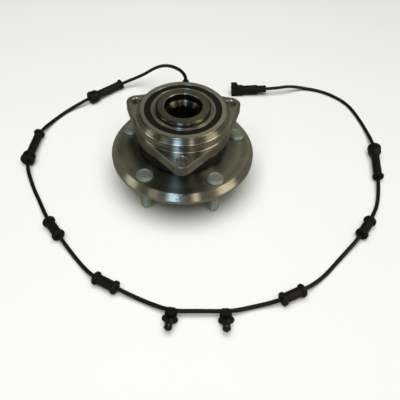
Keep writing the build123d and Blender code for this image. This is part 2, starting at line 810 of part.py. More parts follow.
# ---- Rubber sleeves on the lead ------------------------------------------------------
for number, run in enumerate(short_sleeve_runs, start=1):
    half = short_sleeve_l / 2
    collar_inner = half - short_collar_t
    with BuildPart() as short_sleeve:
        with BuildSketch(run_plane(run)) as sleeve_section:
            with BuildLine():
                Polyline(
                    (-half, cable_r),
                    (-half, short_collar_r),
                    (-collar_inner, short_collar_r),
                    (-collar_inner, short_sleeve_r),
                    (collar_inner, short_sleeve_r),
                    (collar_inner, short_collar_r),
                    (half, short_collar_r),
                    (half, cable_r),
                    close=True,
                )
            make_face()
            for x in (-half, -collar_inner, collar_inner, half):
                fillet(near(sleeve_section.vertices(), x, short_collar_r), short_collar_fillet)
        revolve(axis=run_axis(run))
    save(short_sleeve, f"short_sleeve_{number}")

for number, run in enumerate(long_sleeve_runs, start=1):
    half = long_sleeve_l / 2
    bulb_end = half - end_collar_t - bulb_groove_w
    with BuildPart() as long_sleeve:
        with BuildSketch(run_plane(run)) as sleeve_section:
            with BuildLine():
                Polyline(
                    (-half, cable_r),
                    (-half, long_flange_r),
                    (-half + long_flange_t, long_flange_r),
                    (-half + long_flange_t, long_sleeve_r),
                    (bulb_end - bulb_l, long_sleeve_r),
                    (bulb_end - bulb_l + bulb_cone_l, bulb_r),
                    (bulb_end, bulb_r),
                    (bulb_end, bulb_r - bulb_groove_depth),
                    (bulb_end + bulb_groove_w, bulb_r - bulb_groove_depth),
                    (bulb_end + bulb_groove_w, end_collar_r),
                    (half, end_collar_r),
                    (half, cable_r),
                    close=True,
                )
            make_face()
            for x in (-half, -half + long_flange_t):
                fillet(near(sleeve_section.vertices(), x, long_flange_r), long_flange_fillet)
            collar_start = bulb_end + bulb_groove_w
            fillet(near(sleeve_section.vertices(), collar_start, end_collar_r), end_collar_fillet)
            fillet(near(sleeve_section.vertices(), half, end_collar_r), end_collar_dome)
        revolve(axis=run_axis(run))
    save(long_sleeve, f"long_sleeve_{number}")

# ---- Push-in clips that hold the lead ------------------------------------------------
for number, run in enumerate(clip_runs, start=1):
    along = Vector(runs[run].X, runs[run].Y, 0).normalized()
    outward = along.cross(Vector(0, 0, 1))
    tilt = radians(clip_tilt)
    stem_dir = outward * cos(tilt) - Vector(0, 0, sin(tilt))
    clip_origin = (lead_points[run] + lead_points[run + 1]) * 0.5
    clip_plane = Plane(origin=clip_origin, x_dir=along, z_dir=stem_dir)
    stem_section_plane = Plane(origin=clip_origin, x_dir=stem_dir, z_dir=along)
    barb_pitch = (clip_stem_l - clip_tip_l) / clip_barbs
    clip_barb_r = clip_stem_r + clip_barb_h
    clip_tip_at = clip_disc_at + clip_disc_t + clip_stem_l
    clip_slot_from = clip_disc_at + clip_disc_t
    clip_slot_to = clip_tip_at - clip_tip_l
    barbs = []
    for barb in range(clip_barbs):
        start = clip_disc_at + clip_disc_t + barb * barb_pitch
        barbs += [
            (start + barb_pitch / 3, clip_stem_r),
            (start + barb_pitch / 3, clip_barb_r),
            (start + barb_pitch, clip_stem_r),
        ]
    with BuildPart() as push_clip:
        with BuildSketch(stem_section_plane):
            Circle(clip_strap_r)
        extrude(amount=clip_strap_w / 2, both=True)
        with BuildSketch(clip_plane.offset(clip_block_from)):
            RectangleRounded(clip_block_l, clip_block_h, clip_block_corner)
        extrude(amount=clip_block_reach - clip_block_from)
        with BuildSketch(stem_section_plane):
            with BuildLine():
                Polyline(
                    (0, 0),
                    (0, clip_stem_r),
                    (clip_disc_at - clip_dish / 2, clip_stem_r),
                    (clip_disc_at + clip_dish / 2, clip_disc_r),
                    (clip_rim_at, clip_disc_r),
                    (clip_disc_at + clip_disc_t - clip_dish / 2, clip_stem_r),
                    *barbs,
                    (clip_tip_at - clip_tip_l, clip_barb_r),
                    (clip_tip_at, clip_tip_r),
                    (clip_tip_at, 0),
                    close=True,
                )
            make_face()
        revolve(axis=Axis(clip_origin, stem_dir))
        with BuildSketch(stem_section_plane):
            with Locations(((clip_slot_from + clip_slot_to) / 2, 0)):
                Rectangle(clip_slot_to - clip_slot_from, 2 * clip_barb_r)
        extrude(amount=clip_slot_w / 2, both=True, mode=Mode.SUBTRACT)
        with BuildSketch(run_plane(run)):
            with BuildLine():
                Polyline(
                    (-clip_block_l, 0),
                    (-clip_block_l, cable_r),
                    (clip_block_l, cable_r),
                    (clip_block_l, 0),
                    close=True,
                )
            make_face()
        revolve(axis=run_axis(run), mode=Mode.SUBTRACT)
    save(push_clip, f"push_clip_{number}")

# ---- Connector at the lead's end -----------------------------------------------------
plug_dir = runs[-1].normalized()
plug_side = Vector(0, 0, 1).cross(plug_dir)
plug_plane = Plane(origin=lead_points[-1], x_dir=plug_side, z_dir=plug_dir)
head_start = boot_l + shell_l
mouth_at = head_start + head_l
mouth_floor = mouth_at - mouth_depth
with BuildPart() as connector_boot:
    with BuildSketch(plug_plane):
        Circle(boot_r)
    extrude(amount=boot_l)
    fillet(connector_boot.edges().sort_by(Axis(lead_points[-1], plug_dir))[0], boot_fillet)
save(connector_boot, "connector_boot")

with BuildPart() as connector_housing:
    with BuildSketch(plug_plane.offset(boot_l)):
        RectangleRounded(shell_w, shell_h, shell_corner_r)
    extrude(amount=shell_l)
    with BuildSketch(plug_plane.offset(head_start)):
        RectangleRounded(head_w, head_h, shell_corner_r)
    extrude(amount=head_l)
    ramp_plane = Plane(origin=lead_points[-1], x_dir=plug_dir, z_dir=plug_side * -1)
    ramp_base = head_h / 2 - shroud_wall
    with BuildSketch(ramp_plane.offset(-ramp_w / 2)) as ramp_section:
        with BuildLine():
            Polyline(
                (mouth_at, ramp_base),
                (mouth_at, head_h / 2 + ramp_h),
                (mouth_at - ramp_top_l, head_h / 2 + ramp_h),
                (mouth_at - ramp_l, head_h / 2),
                (mouth_at - ramp_l, ramp_base),
                close=True,
            )
        make_face()
        for x in (mouth_at, mouth_at - ramp_top_l):
            fillet(near(ramp_section.vertices(), x, head_h / 2 + ramp_h), ramp_fillet)
    extrude(amount=ramp_w)
    with BuildSketch(plug_plane.offset(mouth_at)):
        RectangleRounded(head_w - 2 * shroud_wall, head_h - 2 * shroud_wall, mouth_corner_r)
    extrude(amount=-mouth_depth, mode=Mode.SUBTRACT)
    with BuildSketch(plug_plane.offset(mouth_floor - blade_buried)):
        with GridLocations(blade_spacing, 0, 2, 1):
            Rectangle(blade_w, blade_t)
    extrude(amount=blade_buried, mode=Mode.SUBTRACT)
save(connector_housing, "connector_housing")

with BuildPart() as connector_terminals:
    with BuildSketch(plug_plane.offset(mouth_floor - blade_buried)):
        with GridLocations(blade_spacing, 0, 2, 1):
            Rectangle(blade_w, blade_t)
    extrude(amount=blade_buried + blade_out)
save(connector_terminals, "connector_terminals")
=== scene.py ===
from math import cos, hypot, pi, radians, sin, tau

import bmesh
import bpy
from bpy.props import FloatProperty, FloatVectorProperty, PointerProperty
from mathutils import Matrix, Vector


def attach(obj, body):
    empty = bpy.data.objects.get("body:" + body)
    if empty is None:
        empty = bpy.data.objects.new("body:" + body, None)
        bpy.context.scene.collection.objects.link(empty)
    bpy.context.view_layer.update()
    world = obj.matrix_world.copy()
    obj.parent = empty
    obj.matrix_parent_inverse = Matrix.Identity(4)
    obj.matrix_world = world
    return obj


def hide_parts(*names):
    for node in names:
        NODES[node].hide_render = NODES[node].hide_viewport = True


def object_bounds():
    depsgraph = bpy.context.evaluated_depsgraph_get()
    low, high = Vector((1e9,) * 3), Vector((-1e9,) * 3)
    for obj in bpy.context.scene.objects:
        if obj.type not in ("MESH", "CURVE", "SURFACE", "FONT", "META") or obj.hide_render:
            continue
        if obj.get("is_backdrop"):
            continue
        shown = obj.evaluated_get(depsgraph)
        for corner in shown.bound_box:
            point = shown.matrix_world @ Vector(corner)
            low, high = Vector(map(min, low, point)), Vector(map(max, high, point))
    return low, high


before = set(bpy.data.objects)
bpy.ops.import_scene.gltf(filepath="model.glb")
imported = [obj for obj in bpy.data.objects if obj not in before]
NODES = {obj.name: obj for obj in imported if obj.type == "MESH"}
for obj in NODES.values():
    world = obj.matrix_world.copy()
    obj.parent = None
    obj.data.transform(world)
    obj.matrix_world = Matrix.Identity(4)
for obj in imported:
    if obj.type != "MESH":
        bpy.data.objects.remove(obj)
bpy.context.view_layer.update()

bl_info = {
    "name": "Wheel Hub Bearing Unit",
    "version": (1, 0, 0),
    "blender": (4, 5, 0),
    "location": "View3D > Sidebar > Hub unit",
    "description": "Finishes, fine detail and studio for a wheel hub bearing with its speed sensor lead",
    "category": "Object",
}

MM = 0.001

# The lead's route, in millimetres, from the sensor to the connector.
LEAD_ROUTE = [
    (-1.692, 80.782, 37.5),
    (-1.918, 91.58, 37.5),
    (-12.5, 110.0, 34.5),
    (-28.9, 132.2, 23.3),
    (-46.5, 158.5, 0.0),
    (-64.0, 167.0, -18.9),
    (-91.5, 160.5, -29.1),
    (-113.0, 139.75, -28.55),
    (-134.5, 119.0, -28.0),
    (-157.0, 102.5, -34.1),
    (-170.5, 82.0, -34.0),
    (-181.2, 54.0, -29.1),
    (-182.6, 25.0, -28.4),
    (-184.0, -4.0, -27.7),
    (-170.0, -34.0, -34.1),
    (-156.0, -57.0, -34.0),
    (-141.0, -84.0, -29.2),
    (-121.5, -108.0, -29.2),
    (-103.5, -127.5, -34.1),
    (-92.5, -139.5, -33.0),
    (-80.0, -152.5, -29.2),
    (-52.0, -166.0, -29.2),
    (-29.0, -174.5, -32.8),
    (-5.5, -184.5, -29.627),
    (7.5, -186.0, -29.627),
    (24.0, -185.0, -29.4),
    (44.5, -183.9, -29.627),
    (59.5, -182.9, -29.627),
    (80.0, -175.0, -33.2),
    (104.0, -169.5, -29.2),
    (131.5, -154.5, -29.2),
    (151.0, -138.0, -34.1),
    (172.0, -113.0, -34.1),
    (196.0, -86.5, -29.2),
    (213.0, -60.0, -29.2),
    (226.5, -34.0, -34.1),
    (231.9, -0.3, -29.2),
    (234.1, 29.2, -28.45),
    (236.3, 58.7, -27.7),
    (235.0, 89.0, -34.1),
    (227.0, 121.0, -34.2),
    (215.5, 149.0, -34.2),
    (189.0, 169.5, -34.2),
    (161.0, 176.5, -34.2),
    (137.0, 167.0, -25.5),
    (120.517, 161.517, -25.666),
    (105.6, 160.5, -26.869),
]
SLEEVES = [f"long_sleeve_{n}" for n in (1, 2, 3)] + [f"short_sleeve_{n}" for n in (1, 2, 3, 4)]
CLIPS = ["push_clip_1", "push_clip_2"]

# Circles of the holes, in mm, and the angle of the first hole, in degrees.
STUD_CIRCLE_R, STUD_COUNT, STUD_FIRST_ANGLE = 63.5, 5, 18.0
LUG_CIRCLE_R, LUG_COUNT, LUG_FIRST_ANGLE = 60.325, 3, -87.65
COUNTERSINK_R = 6.4

# Borders between the finishes, the painted highlight and the painted shade of the two forgings: radii and
# heights, in mm.
COLLAR_LOW, BORE_LIP_LOW, BORE_LIP_R = 61.0, 65.4, 20.75
COUNTERBORE_R, SHOULDER_LOW, SHOULDER_HIGH = 20.02, 56.0, 58.0
BORE_SHADE_R, BORE_SHADE_LOW = 20.3, 2.6
FLANGE_FACE_R, RIM_R = 40.0, 72.0
BARREL_R, BARREL_HIGH = 48.5, 33.2
LUG_TOP_R, LUG_SIDE_R = 51.0, 51.7

# A lathe's feed is 0.1 to 0.3 mm. The marks are drawn coarser, so that they show, and very shallow.
FEED, FINE_FEED, MARK_DEPTH = 2.2 * MM, 1.5 * MM, 0.002 * MM


def linear(hex_colour):
    """Scene-linear RGBA of an sRGB hex colour."""
    channels = [int(hex_colour[i : i + 2], 16) / 255 for i in (1, 3, 5)]
    return [c / 12.92 if c <= 0.04045 else ((c + 0.055) / 1.055) ** 2.4 for c in channels] + [1.0]


def add_node(tree, kind, inputs=None, **settings):
    """Add a shader node, set its properties, and set its inputs or join them to other outputs."""
    node = tree.nodes.new(kind)
    for name, value in settings.items():
        setattr(node, name, value)
    for name, value in (inputs or {}).items():
        if isinstance(value, bpy.types.NodeSocket):
            tree.links.new(value, node.inputs[name])
        else:
            node.inputs[name].default_value = value
    return node


def new_material(name, **surface):
    """A material with one surface shader, whose sockets are set by name.

    Returns the material, its tree and its shader.
    """
    material = bpy.data.materials.new(name)
    material.use_nodes = True
    tree = material.node_tree
    tree.nodes.clear()
    shader = add_node(tree, "ShaderNodeBsdfPrincipled", surface)
    add_node(tree, "ShaderNodeOutputMaterial", {"Surface": shader.outputs["BSDF"]})
    return material, tree, shader


def spread(tree, value, low, high, to_low, to_high):
    """Stretch a value between two limits to a new range."""
    limits = {"Value": value, "From Min": low, "From Max": high, "To Min": to_low, "To Max": to_high}
    return add_node(tree, "ShaderNodeMapRange", limits).outputs["Result"]


def finish_nodes(material, *names):
    """Give CAD nodes a material."""
    for name in names:
        NODES[name].data.materials.clear()
        NODES[name].data.materials.append(material)


def finish_zones(name, materials, zone):
    """Give a CAD node several materials.

    zone picks one from a face's place in mm, its distance from the spin axis and its normal.
    """
    mesh = NODES[name].data
    mesh.materials.clear()
    for material in materials:
        mesh.materials.append(material)
    for face in mesh.polygons:
        place = face.center / MM
        face.material_index = zone(place, hypot(place.x, place.y), face.normal)


def lathe(name, rows, pitch=1.0, closed=False, segments=48):
    """A mesh turned about Z from rows of radius, height and thread depth, all in mm.

    The thread is right-handed and has the given pitch. A closed mesh joins its last row to its first,
    and an open one gets a flat cap at each end.
    """
    corners = []
    for radius, height, depth in rows:
        for step in range(segments):
            turn = step / segments
            r = (radius - depth * (0.5 - 0.5 * cos(tau * (height / pitch - turn)))) * MM
            corners.append((r * cos(tau * turn), r * sin(tau * turn), height * MM))
    faces = []
    for row in range(len(rows) if closed else len(rows) - 1):
        here, there = row * segments, (row + 1) % len(rows) * segments
        for step in range(segments):
            after = (step + 1) % segments
            faces.append((here + step, here + after, there + after, there + step))
    if not closed:
        faces.append(tuple(range(segments)))
        faces.append(tuple(range(len(corners) - segments, len(corners))))
    mesh = bpy.data.meshes.new(name)
    mesh.from_pydata(corners, [], faces)
    shape = bmesh.new()
    shape.from_mesh(mesh)
    bmesh.ops.recalc_face_normals(shape, faces=shape.faces)
    shape.to_mesh(mesh)
    shape.free()
    mesh.shade_smooth()
    mesh.set_sharp_from_angle(angle=radians(35))
    return mesh


def lug_holes():
    """Places of the lug holes' axes, in mm."""
    return [
        (LUG_CIRCLE_R * cos(angle), LUG_CIRCLE_R * sin(angle))
        for angle in (radians(LUG_FIRST_ANGLE) + n * tau / LUG_COUNT for n in range(LUG_COUNT))
    ]


def place_round(context, mesh, name, circle_r, count, first_angle, body, replaced=None):
    """Put copies of a mesh on a circle round the spin axis. They ride on a body."""
    for number in range(count):
        angle = radians(first_angle) + number * tau / count
        piece = bpy.data.objects.new(f"{name}_{number + 1}", mesh)
        context.scene.collection.objects.link(piece)
        piece.location = (circle_r * cos(angle) * MM, circle_r * sin(angle) * MM, 0)
        piece.rotation_euler.z = angle
        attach(piece, body)
        if replaced:
            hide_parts(replaced)


# ---- Materials -------------------------------------------------------------------------------


def turned_steel(name, colour, shade, roughness, feed=FEED, spots=0.0, stretch=0.8, painted_lines=()):
    """Steel turned on a lathe: rings round the spin axis stretch its highlights across them.

    An oil film shades it in clouds. spots is how strongly grime shows where the film is thick.
    The last argument lists thin lines of painted highlight and painted shade, each a height and half
    width in mm and a tone.
    """
    material, tree, shader = new_material(
        name, **{"Metallic": 1.0, "Anisotropic": stretch, "Anisotropic Rotation": 0.25}
    )
    place = add_node(tree, "ShaderNodeTexCoord").outputs["Object"]
    flat = add_node(tree, "ShaderNodeVectorMath", {0: place, 1: (1, 1, 0)}, operation="MULTIPLY")
    radius = add_node(tree, "ShaderNodeVectorMath", {0: flat.outputs[0]}, operation="LENGTH")
    axes = add_node(tree, "ShaderNodeSeparateXYZ", {"Vector": place})
    ring = add_node(
        tree, "ShaderNodeCombineXYZ", {"X": radius.outputs["Value"], "Y": axes.outputs["Z"]}
    ).outputs[0]
    marks = add_node(
        tree,
        "ShaderNodeTexNoise",
        {"Vector": ring, "Scale": 1 / feed, "Detail": 2.0, "Roughness": 0.7},
        noise_dimensions="2D",
    ).outputs["Fac"]
    passes = add_node(
        tree,
        "ShaderNodeTexNoise",
        {"Vector": ring, "Scale": 1 / (5 * feed), "Detail": 1.0},
        noise_dimensions="2D",
    ).outputs["Fac"]
    film = add_node(
        tree, "ShaderNodeTexNoise", {"Vector": place, "Scale": 1 / (22 * MM), "Detail": 4.0}
    ).outputs["Fac"]
    tone_mix = add_node(
        tree, "ShaderNodeMath", {0: film, 1: passes}, operation="MULTIPLY"
    ).outputs[0]
    tone_fac = spread(tree, tone_mix, 0.12, 0.4, 0.0, 1.0)
    base = add_node(
        tree, "ShaderNodeMix", {0: tone_fac, 6: colour, 7: shade}, data_type="RGBA"
    ).outputs[2]
    rough = spread(tree, film, 0.3, 0.7, roughness * 0.97, roughness * 1.08)
    if spots:
        grime = add_node(
            tree, "ShaderNodeTexNoise", {"Vector": place, "Scale": 1 / (1.6 * MM), "Detail": 2.0}
        ).outputs["Fac"]
        where = spread(tree, film, 0.56, 0.66, 0.0, spots)
        dots = spread(tree, grime, 0.56, 0.62, 0.0, 1.0)
        cover = add_node(
            tree, "ShaderNodeMath", {0: dots, 1: where}, operation="MULTIPLY"
        ).outputs[0]
        base = add_node(
            tree, "ShaderNodeMix", {0: cover, 6: base, 7: linear("#2C2A26")}, data_type="RGBA"
        ).outputs[2]
    # Each listed line is painted in: a thin band of painted highlight or painted shade at its height.
    for height, half, tone in painted_lines:
        rise = add_node(
            tree, "ShaderNodeMath", {0: axes.outputs["Z"], 1: height * MM}, operation="SUBTRACT"
        ).outputs[0]
        off = add_node(tree, "ShaderNodeMath", {0: rise}, operation="ABSOLUTE").outputs[0]
        line = spread(tree, off, 0.5 * half * MM, half * MM, 1.0, 0.0)
        base = add_node(
            tree, "ShaderNodeMix", {0: line, 6: base, 7: linear(tone)}, data_type="RGBA"
        ).outputs[2]
    tree.links.new(base, shader.inputs["Base Color"])
    tree.links.new(rough, shader.inputs["Roughness"])
    bump = add_node(tree, "ShaderNodeBump", {"Height": marks, "Distance": MARK_DEPTH})
    tree.links.new(bump.outputs["Normal"], shader.inputs["Normal"])
    tangent = add_node(tree, "ShaderNodeTangent", direction_type="RADIAL", axis="Z")
    tree.links.new(tangent.outputs["Tangent"], shader.inputs["Tangent"])
    return material


def grained(name, colour, shade, roughness, grain, depth, patch=30 * MM, **surface):
    """A moulded, forged or plated surface.

    It has a fine grain of the given size and depth, and patches that differ a little in tone and gloss.
    Real grains are 0.02 to 0.2 mm. They are drawn coarser, so that they show.
    """
    material, tree, shader = new_material(name, **surface)
    place = add_node(tree, "ShaderNodeTexCoord").outputs["Object"]
    cloud = add_node(
        tree, "ShaderNodeTexNoise", {"Vector": place, "Scale": 1 / patch, "Detail": 3.0}
    ).outputs["Fac"]
    speck = add_node(
        tree, "ShaderNodeTexNoise", {"Vector": place, "Scale": 1 / grain, "Detail": 2.0}
    ).outputs["Fac"]
    tone = add_node(
        tree,
        "ShaderNodeMix",
        {0: spread(tree, cloud, 0.3, 0.7, 0.0, 1.0), 6: colour, 7: shade},
        data_type="RGBA",
    )
    bump = add_node(tree, "ShaderNodeBump", {"Height": speck, "Distance": depth})
    tree.links.new(tone.outputs[2], shader.inputs["Base Color"])
    rough = spread(tree, cloud, 0.3, 0.7, roughness * 0.85, roughness * 1.15)
    tree.links.new(rough, shader.inputs["Roughness"])
    tree.links.new(bump.outputs["Normal"], shader.inputs["Normal"])
    return material


# ---- Settings --------------------------------------------------------------------------------


def colour_setting(name, description, value):
    """A colour that the user can change."""
    return FloatVectorProperty(
        name=name, description=description, subtype="COLOR", size=4, default=linear(value)
    )


class HubUnitFinishes(bpy.types.PropertyGroup):
    """Colours of the unit's finishes."""

    steel: colour_setting("Turned steel", "Colour of the machined forgings", "#BBBBB9")
    steel_shade: colour_setting(
        "Oil film", "Tone of the machined forgings where the oil film is thicker", "#969694"
    )
    # Brighter steel. On the flange's rim and the bore's lip it is painted highlight.
    rim: colour_setting("Bright steel", "Colour of the flange's rim", "#D2D2D0")
    swaged: colour_setting("Swaged steel", "Colour of the collar over the inner ring", "#7A7770")
    # The bore's near black is painted shade.
    bore_shade: colour_setting("Bore shade", "Painted shade of the bore and spline", "#5A5854")
    # The barrel's near black is painted shade.
    scale: colour_setting("Forging scale", "Painted shade of the barrel under the lugs", "#131211")
    zinc: colour_setting("Zinc plate", "Colour of the plated wheel studs", "#B2BCB3")
    rubber: colour_setting("Rubber", "Colour of the seals and sleeves", "#090908")
    plastic: colour_setting("Moulded plastic", "Colour of the sensor, clips and connector", "#070707")
    jacket: colour_setting("Lead jacket", "Colour of the lead's jacket", "#090908")


class HubUnitSizes(bpy.types.PropertyGroup):
    """Sizes of the fine detail."""

    lead_d: FloatProperty(
        name="Lead diameter",
        description="Outside diameter of the lead's jacket",
        default=4.2 * MM,
        unit="LENGTH",
    )
    stud_pitch: FloatProperty(
        name="Stud thread pitch",
        description="Pitch of the wheel studs' half-inch fine thread, in millimetres",
        default=1.27,
    )
    knuckle_pitch: FloatProperty(
        name="Lug thread pitch",
        description="Pitch of the M12 thread in the lugs, in millimetres",
        default=1.75,
    )


class HubUnitStage(bpy.types.PropertyGroup):
    """Settings of the studio's camera."""

    camera_place: FloatVectorProperty(
        name="Camera place",
        description="Where the camera stands",
        subtype="TRANSLATION",
        unit="LENGTH",
        default=(0.02241, -0.424555, 0.410598),
    )
    camera_dip: FloatProperty(
        name="Camera dip",
        description="Angle that the camera looks down by",
        subtype="ANGLE",
        default=radians(49.29),
    )
    camera_roll: FloatProperty(
        name="Camera roll",
        description="Turn of the camera about its own line of sight",
        subtype="ANGLE",
        default=radians(2.93),
    )
    lens: FloatProperty(
        name="Lens",
        description="Focal length on a 36 mm sensor, in millimetres",
        default=46.47,
    )


class HubUnitSettings(bpy.types.PropertyGroup):
    """All settings of the unit."""

    finishes: PointerProperty(type=HubUnitFinishes)
    sizes: PointerProperty(type=HubUnitSizes)
    stage: PointerProperty(type=HubUnitStage)


# ---- Pieces ----------------------------------------------------------------------------------


def face_turned(look):
    """The coarser cut of the flange and the lugs, which stretches their lights further."""
    name = "Forged steel, face turned"
    return bpy.data.materials.get(name) or turned_steel(
        name, look.steel, look.steel_shade, 0.285, stretch=1.0
    )


class HUBUNIT_OT_hub(bpy.types.Operator):
    """Finish the hub: flange, spindle, collar and splined bore"""

    bl_idname = "hub_unit.hub"
    bl_label = "Hub"

    def execute(self, context):
        look = context.scene.hub_unit.finishes
        # Turned forging: bare bright metal with soft streaks across the feed marks, and an oil film.
        turned = turned_steel(
            "Forged steel, turned", look.steel, look.steel_shade, 0.285, spots=0.6
        )
        # The collar was rolled over cold, which leaves it smooth, darker and softly shiny.
        swaged = turned_steel("Forged steel, swaged", look.swaged, look.swaged, 0.3, 1.6 * MM)
        # The bore and the spline are painted nearly black: painted shade deep inside the bore.
        bore_shade = turned_steel(
            "Forged steel, broached and oiled", look.bore_shade, look.bore_shade, 0.3, 1.6 * MM
        )
        # The flange's rim and the bore's lip get a brighter steel colour: painted highlight, standing in
        # for the glint on the lip and the white floor's reflection on the rim's bevel and edge.
        rim = turned_steel("Forged steel, rim and lip, painted highlight", look.rim, look.rim, 0.285, spots=1.0)

        def hub_zone(place, radius, normal):
            # The cone at the foot of the counterbore is kept out of the painted shade and takes the
            # collar's colour.
            shoulder = SHOULDER_LOW < place.z < SHOULDER_HIGH and normal.z > 0.5
            # The bore's lip takes the brighter colour: painted highlight.
            if place.z > BORE_LIP_LOW and radius < BORE_LIP_R:
                return 3
            if place.z > COLLAR_LOW and radius > COUNTERBORE_R or shoulder:
                return 1
            # The rim's bevel and edge take the brighter colour: painted reflection of the floor.
            if radius > RIM_R and -0.3 < normal.z < 0.95:
                return 3
            if radius > FLANGE_FACE_R:
                return 4
            # Inside the bore: painted shade.
            return 2 if radius < BORE_SHADE_R and place.z > BORE_SHADE_LOW else 0

        finish_zones("hub_flange", (turned, swaged, bore_shade, rim, face_turned(look)), hub_zone)
        return {"FINISHED"}


class HUBUNIT_OT_outer_ring(bpy.types.Operator):
    """Finish the outer ring: pilot, lugs and barrel"""

    bl_idname = "hub_unit.outer_ring"
    bl_label = "Outer ring"

    def execute(self, context):
        look = context.scene.hub_unit.finishes
        # Painted lines on the pilot: a painted highlight line at its foot, and a painted shade line and a
        # painted highlight line under its nose, stand in for the glints and shade on the small roundings
        # there.
        pilot = turned_steel(
            "Forged steel, pilot turned", look.steel, look.steel_shade, 0.285, spots=0.6,
            painted_lines=((47.0, 0.45, "#F6F6F4"), (55.5, 0.4, "#4A4A48"), (56.4, 0.6, "#F6F6F4")),
        )
        # The barrel under the lugs is painted near black, rough and matte: painted shade under the lug
        # flange.
        scale = grained(
            "Forged steel, black scale", look.scale, look.scale, 0.6, 0.8 * MM, 0.05 * MM, IOR=1.5
        )
        # The lugs' sides are milled and blasted, which leaves an even satin.
        milled = grained(
            "Forged steel, milled", look.steel, look.steel_shade, 0.34, 1.2 * MM, 0.006 * MM,
            Metallic=1.0,
        )
        # The countersinks of the lug holes were cut last, so they are bright and plain.
        countersunk = grained(
            "Forged steel, countersunk", look.rim, look.steel, 0.3, 0.8 * MM, 0.002 * MM, Metallic=1.0
        )
        holes = lug_holes()

        def ring_zone(place, radius, normal):
            # The barrel under the lugs: painted shade.
            if radius < BARREL_R and place.z < BARREL_HIGH:
                return 1
            if any(hypot(place.x - x, place.y - y) < COUNTERSINK_R for x, y in holes):
                return 3
            if radius > LUG_TOP_R and normal.z > 0.9:
                return 4
            return 2 if radius > LUG_SIDE_R and normal.z < 0.9 else 0

        materials = (pilot, scale, milled, countersunk, face_turned(look))
        finish_zones("outer_ring", materials, ring_zone)
        return {"FINISHED"}


class HUBUNIT_OT_bearing(bpy.types.Operator):
    """Finish the inner ring, the balls, the slinger and the sheet steel pieces"""

    bl_idname = "hub_unit.bearing"
    bl_label = "Bearing"

    def execute(self, context):
        look = context.scene.hub_unit.finishes
        # Ground bearing steel has finer marks than the turned forgings, so it looks smoother.
        ground = turned_steel(
            "Bearing steel, ground", look.steel, look.steel_shade, 0.285, FINE_FEED
        )
        finish_nodes(ground, "inner_ring", "outboard_balls", "inboard_balls")
        # The slinger is pressed from stainless sheet, with faint rings from its blanking.
        slinger = turned_steel(
            "Stainless steel sheet, pressed", look.steel, look.steel_shade, 0.29, 1.2 * MM
        )
        finish_nodes(slinger, "inboard_slinger")
        # Plain pressed sheet is duller, with an even fine grain.
        sheet = grained(
            "Sheet steel, pressed", look.steel, look.steel_shade, 0.4, 1.0 * MM, 0.01 * MM,
            Metallic=1.0,
        )
        finish_nodes(sheet, "outboard_seal_case", "inboard_seal_case", "tone_ring")
        return {"FINISHED"}


def stud_mesh(pitch):
    """A wheel stud: a head with a raised ring and a bevelled edge, a plain neck, and a threaded shank."""
    rows = [
        (5.2, 14.36, 0.0), (5.6, 14.4, 0.0), (6.0, 14.76, 0.0), (6.3, 14.8, 0.0), (6.7, 14.3, 0.0),
        (7.0, 14.1, 0.0), (7.4, 14.34, 0.0), (8.0, 14.28, 0.0), (8.5, 14.1, 0.0), (9.0, 13.74, 0.0),
        (9.38, 13.2, 0.0), (9.5, 12.5, 0.0), (9.5, 11.8, 0.0), (9.35, 11.5, 0.0), (6.9, 11.5, 0.0),
        (6.9, 0.0, 0.0), (6.2, 0.0, 0.0), (6.2, -3.0, 0.0),
    ]
    crest_r, thread_depth, top, end, rows_per_turn = 6.2, 0.62, -3.0, -33.4, 6
    steps = round((top - end) / pitch * rows_per_turn)
    for step in range(1, steps):
        height = top + (end - top) * step / steps
        fade = min(1, step / rows_per_turn, (steps - step) / rows_per_turn)
        rows.append((crest_r, height, thread_depth * fade))
    rows += [(5.9, end, 0.0), (4.4, -36.2, 0.0), (4.1, -36.4, 0.0)]
    return lathe("wheel_stud", rows, pitch)


def lug_thread_mesh(pitch):
    """The thread inside a lug hole, as a sleeve that fills the hole's wall down to the minor radius."""
    low, high, wall_r, crest_r, minor_r, rows_per_turn = 35.6, 45.7, 5.24, 5.2, 4.9, 8
    steps = round((high - low) / pitch * rows_per_turn)
    rows = [(wall_r, low, 0.0), (wall_r, high, 0.0)]
    for step in range(steps + 1):
        fade = min(1, step / rows_per_turn, (steps - step) / rows_per_turn)
        rows.append((crest_r, high + (low - high) * step / steps, (crest_r - minor_r) * fade))
    return lathe("lug_thread", rows, pitch, closed=True)


class HUBUNIT_OT_threads(bpy.types.Operator):
    """Make the threaded wheel studs and the threads in the lugs"""

    bl_idname = "hub_unit.threads"
    bl_label = "Studs and threads"

    def execute(self, context):
        sizes = context.scene.hub_unit.sizes
        look = context.scene.hub_unit.finishes
        # Zinc plate dulls to a soft greenish grey with a fine crystalline grain.
        zinc = grained(
            "Steel, zinc plated", look.zinc, look.zinc, 0.46, 1.0 * MM, 0.01 * MM, Metallic=0.85
        )
        finish_nodes(zinc, "sensor_screw", "sensor_bush", "sensor_element", "connector_terminals")
        stud = stud_mesh(sizes.stud_pitch)
        stud.materials.append(zinc)
        place_round(
            context, stud, "wheel_stud", STUD_CIRCLE_R, STUD_COUNT, STUD_FIRST_ANGLE,
            "hub", "wheel_studs",
        )
        # A freshly tapped thread is bright, with a fine grain from the tap.
        tapped = grained(
            "Forged steel, tapped", look.rim, look.steel, 0.29, 0.5 * MM, 0.004 * MM, Metallic=1.0
        )
        thread = lug_thread_mesh(sizes.knuckle_pitch)
        thread.materials.append(tapped)
        place_round(
            context, thread, "lug_thread", LUG_CIRCLE_R, LUG_COUNT, LUG_FIRST_ANGLE,
            "outer",
        )
        return {"FINISHED"}


